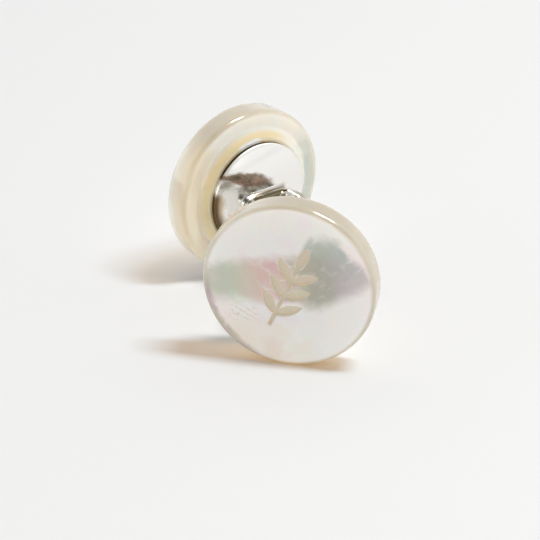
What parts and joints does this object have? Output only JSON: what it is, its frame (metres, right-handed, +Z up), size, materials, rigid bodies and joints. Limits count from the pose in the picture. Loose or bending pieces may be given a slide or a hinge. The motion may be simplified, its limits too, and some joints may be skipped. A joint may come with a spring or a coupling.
{
  "type": "double-sided link cufflink",
  "caption": "Round stepped mother-of-pearl buttons with domed silver caps and soldered eyes, joined back to back by a loose oval silver link.",
  "frame": {"origin": "middle of the base of the bounding box, on the surface that both buttons stand on", "axes": "+Z up; +Y from the engraved front button to the rear button, along the link; +X towards the side on which the buttons' inner faces open"},
  "size_m": [0.0134, 0.0252, 0.0139],
  "materials": {
    "mother_of_pearl": "polished, pearly",
    "silver": "polished"
  },
  "bodies": {
    "root": {"front_button": "mother_of_pearl", "rear_button": "mother_of_pearl", "front_cap_and_eye": "silver", "rear_cap_and_eye": "silver", "link": "silver"}
  },
  "joints": []
}
